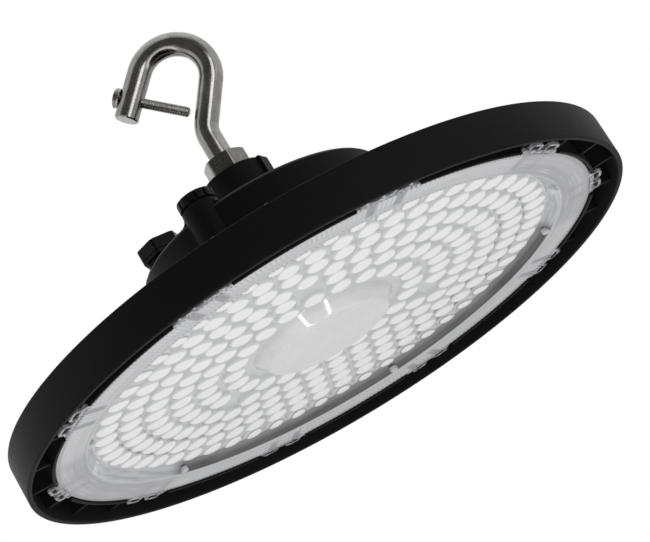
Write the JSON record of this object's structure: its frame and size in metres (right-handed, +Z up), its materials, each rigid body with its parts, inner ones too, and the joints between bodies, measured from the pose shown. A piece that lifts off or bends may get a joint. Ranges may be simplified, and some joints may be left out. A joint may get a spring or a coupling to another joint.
{
  "type": "high bay light",
  "caption": "Round LED high bay light: finned black dish in a plain ring, domed clear lens plate below, driver drum with a cable gland on top, and a steel hook with a safety screw.",
  "frame": {"origin": "centre of the outer ring's lower rim, the plane the lamp rests on", "axes": "+Z up along the lamp's axis to the hook; the hook lies in the XZ plane with its open side towards -X, over the cable gland; -Y is the side the picture shows"},
  "size_m": [0.3, 0.3, 0.1701],
  "materials": {
    "heat_sink": "black powder coat, satin",
    "lens": "clear moulded",
    "lens_gasket": "matte",
    "led_board": "white solder mask",
    "leds": "satin",
    "thermal_pad": "matte",
    "board_screws": "plated",
    "lead_grommet": "matte",
    "led_leads": "satin",
    "driver_housing": "black powder coat, satin",
    "housing_seal": "matte",
    "housing_screws": "plain",
    "hook": "drawn stainless bar",
    "hook_nut": "plain",
    "safety_screw": "plain",
    "grub_screw": "blackened",
    "port_seal": "matte",
    "port_cap": "satin",
    "gland_body": "satin",
    "gland_seal": "matte",
    "gland_nut": "satin",
    "gland_locknut": "satin",
    "breather_plug": "satin",
    "driver_board": "solder mask",
    "driver_standoffs": "plain",
    "driver_screws": "plated",
    "transformer": "tape over a ferrite core",
    "bulk_capacitors": "shrink sleeve",
    "line_choke": "coated core",
    "power_transistors": "moulded",
    "terminal_block": "moulded"
  },
  "bodies": {
    "root": {"heat_sink": "heat_sink", "lens": "lens", "lens_gasket": "lens_gasket", "led_board": "led_board", "leds": "leds", "thermal_pad": "thermal_pad", "board_screws": "board_screws", "lead_grommet": "lead_grommet", "led_leads": "led_leads", "driver_housing": "driver_housing", "housing_seal": "housing_seal", "housing_screws": "housing_screws", "hook": "hook", "hook_nut": "hook_nut", "safety_screw": "safety_screw", "grub_screw": "grub_screw", "port_seal": "port_seal", "port_cap": "port_cap", "gland_body": "gland_body", "gland_seal": "gland_seal", "gland_nut": "gland_nut", "gland_locknut": "gland_locknut", "breather_plug": "breather_plug", "driver_board": "driver_board", "driver_standoffs": "driver_standoffs", "driver_screws": "driver_screws", "transformer": "transformer", "bulk_capacitors": "bulk_capacitors", "line_choke": "line_choke", "power_transistors": "power_transistors", "terminal_block": "terminal_block"}
  },
  "joints": []
}
